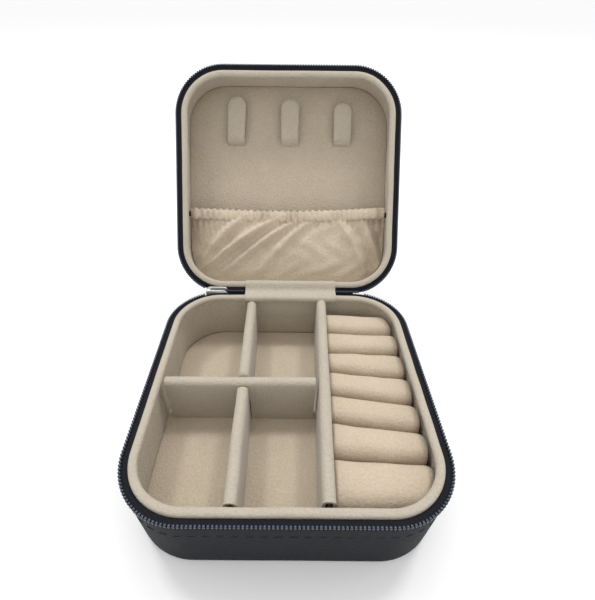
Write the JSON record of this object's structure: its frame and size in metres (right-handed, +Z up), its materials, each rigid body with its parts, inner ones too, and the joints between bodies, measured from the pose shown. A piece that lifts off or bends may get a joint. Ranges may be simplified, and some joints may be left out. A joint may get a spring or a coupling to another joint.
{
  "type": "jewellery case",
  "caption": "Small zip-round leather jewellery case with a hinged lid, a velvet tray of lift-out dividers and ring rolls, and a lid with necklace hooks over a gathered pocket.",
  "frame": {"origin": "centre of the base's underside, on the surface that the case stands on", "axes": "+Z up; -Y towards the front, where the zip is opened; +Y towards the hinge; +X to the right, the ring roll side"},
  "size_m": [0.1004, 0.1733, 0.1099],
  "materials": {
    "black_leather": "fine-grained soft leather, satin",
    "spine_leather": "flexible leather, satin",
    "zip_cloth": "woven zip tape, matt",
    "zip_teeth": "moulded coil, slight sheen",
    "silver_metal": "pale plated metal",
    "grey_board": "uncoated grey board, matt",
    "cream_velvet": "short-pile velvet, warm cream",
    "pale_velvet": "short-pile velvet, pale greige",
    "beige_velvet": "short-pile velvet, beige"
  },
  "bodies": {
    "base": {"base_side_leather": "black_leather", "base_bottom_leather": "black_leather", "base_wall_board": "grey_board", "base_floor_board": "grey_board", "base_wall_lining": "beige_velvet", "base_floor_pad": "beige_velvet", "base_rim_lip": "pale_velvet", "base_zip_tape": "zip_cloth", "base_zip_teeth": "zip_teeth", "base_spine_leather": "spine_leather", "base_hinge_strip": "pale_velvet", "joined_teeth_left": "zip_teeth", "joined_teeth_right": "zip_teeth", "partition_cover": "pale_velvet", "partition_core": "grey_board", "ring_roll_bed": "grey_board", "ring_roll_1": "cream_velvet", "ring_roll_2": "cream_velvet", "ring_roll_3": "cream_velvet", "ring_roll_4": "cream_velvet", "ring_roll_5": "cream_velvet", "ring_roll_6": "cream_velvet", "ring_roll_7": "cream_velvet"},
    "lid": {"lid_side_leather": "black_leather", "lid_top_leather": "black_leather", "lid_wall_board": "grey_board", "lid_top_board": "grey_board", "lid_wall_lining": "beige_velvet", "lid_back_panel": "beige_velvet", "lid_rim_lip": "pale_velvet", "lid_zip_tape": "zip_cloth", "lid_zip_teeth": "zip_teeth", "lid_spine_leather": "spine_leather", "lid_hinge_strip": "pale_velvet", "lid_pocket": "beige_velvet", "pocket_elastic_hem": "beige_velvet"},
    "slider": {"zip_slider": "silver_metal"},
    "pull": {"zip_pull": "silver_metal"},
    "long_divider": {"long_divider_cover": "pale_velvet", "long_divider_core": "grey_board"},
    "short_divider": {"short_divider_cover": "pale_velvet", "short_divider_core": "grey_board"},
    "hook_1": {"necklace_hook_1": "beige_velvet"},
    "hook_2": {"necklace_hook_2": "beige_velvet"},
    "hook_3": {"necklace_hook_3": "beige_velvet"}
  },
  "joints": [
    {"name": "lid_hinge", "type": "hinge", "parent": "base", "child": "lid", "pos_m": [0, 0.0495, 0.0298], "axis": [1, 0, 0], "range_deg": [-14, 126]},
    {"name": "slider_travel", "type": "slide", "parent": "base", "child": "slider", "axis": [1, 0, 0], "range_m": [0, 0.0072]},
    {"name": "pull_swing", "type": "hinge", "parent": "slider", "child": "pull", "pos_m": [-0.03225, 0.0508, 0.0267], "axis": [1, 0, 0], "range_deg": [0, 35]},
    {"name": "long_divider_lift", "type": "slide", "parent": "base", "child": "long_divider", "axis": [0, 0, -1], "range_m": [-0.03, 0]},
    {"name": "short_divider_lift", "type": "slide", "parent": "long_divider", "child": "short_divider", "axis": [0, 0, -1], "range_m": [-0.03, 0]},
    {"name": "hook_1_flex", "type": "hinge", "parent": "lid", "child": "hook_1", "pos_m": [-0.0248, 0.10326, 0.07912], "axis": [1, 0, 0], "range_deg": [0, 15], "stiffness_Nm_per_rad": 0.002},
    {"name": "hook_2_flex", "type": "hinge", "parent": "lid", "child": "hook_2", "pos_m": [0.0007, 0.10326, 0.07912], "axis": [1, 0, 0], "range_deg": [0, 15], "stiffness_Nm_per_rad": 0.002},
    {"name": "hook_3_flex", "type": "hinge", "parent": "lid", "child": "hook_3", "pos_m": [0.0256, 0.10326, 0.07912], "axis": [1, 0, 0], "range_deg": [0, 15], "stiffness_Nm_per_rad": 0.002}
  ]
}
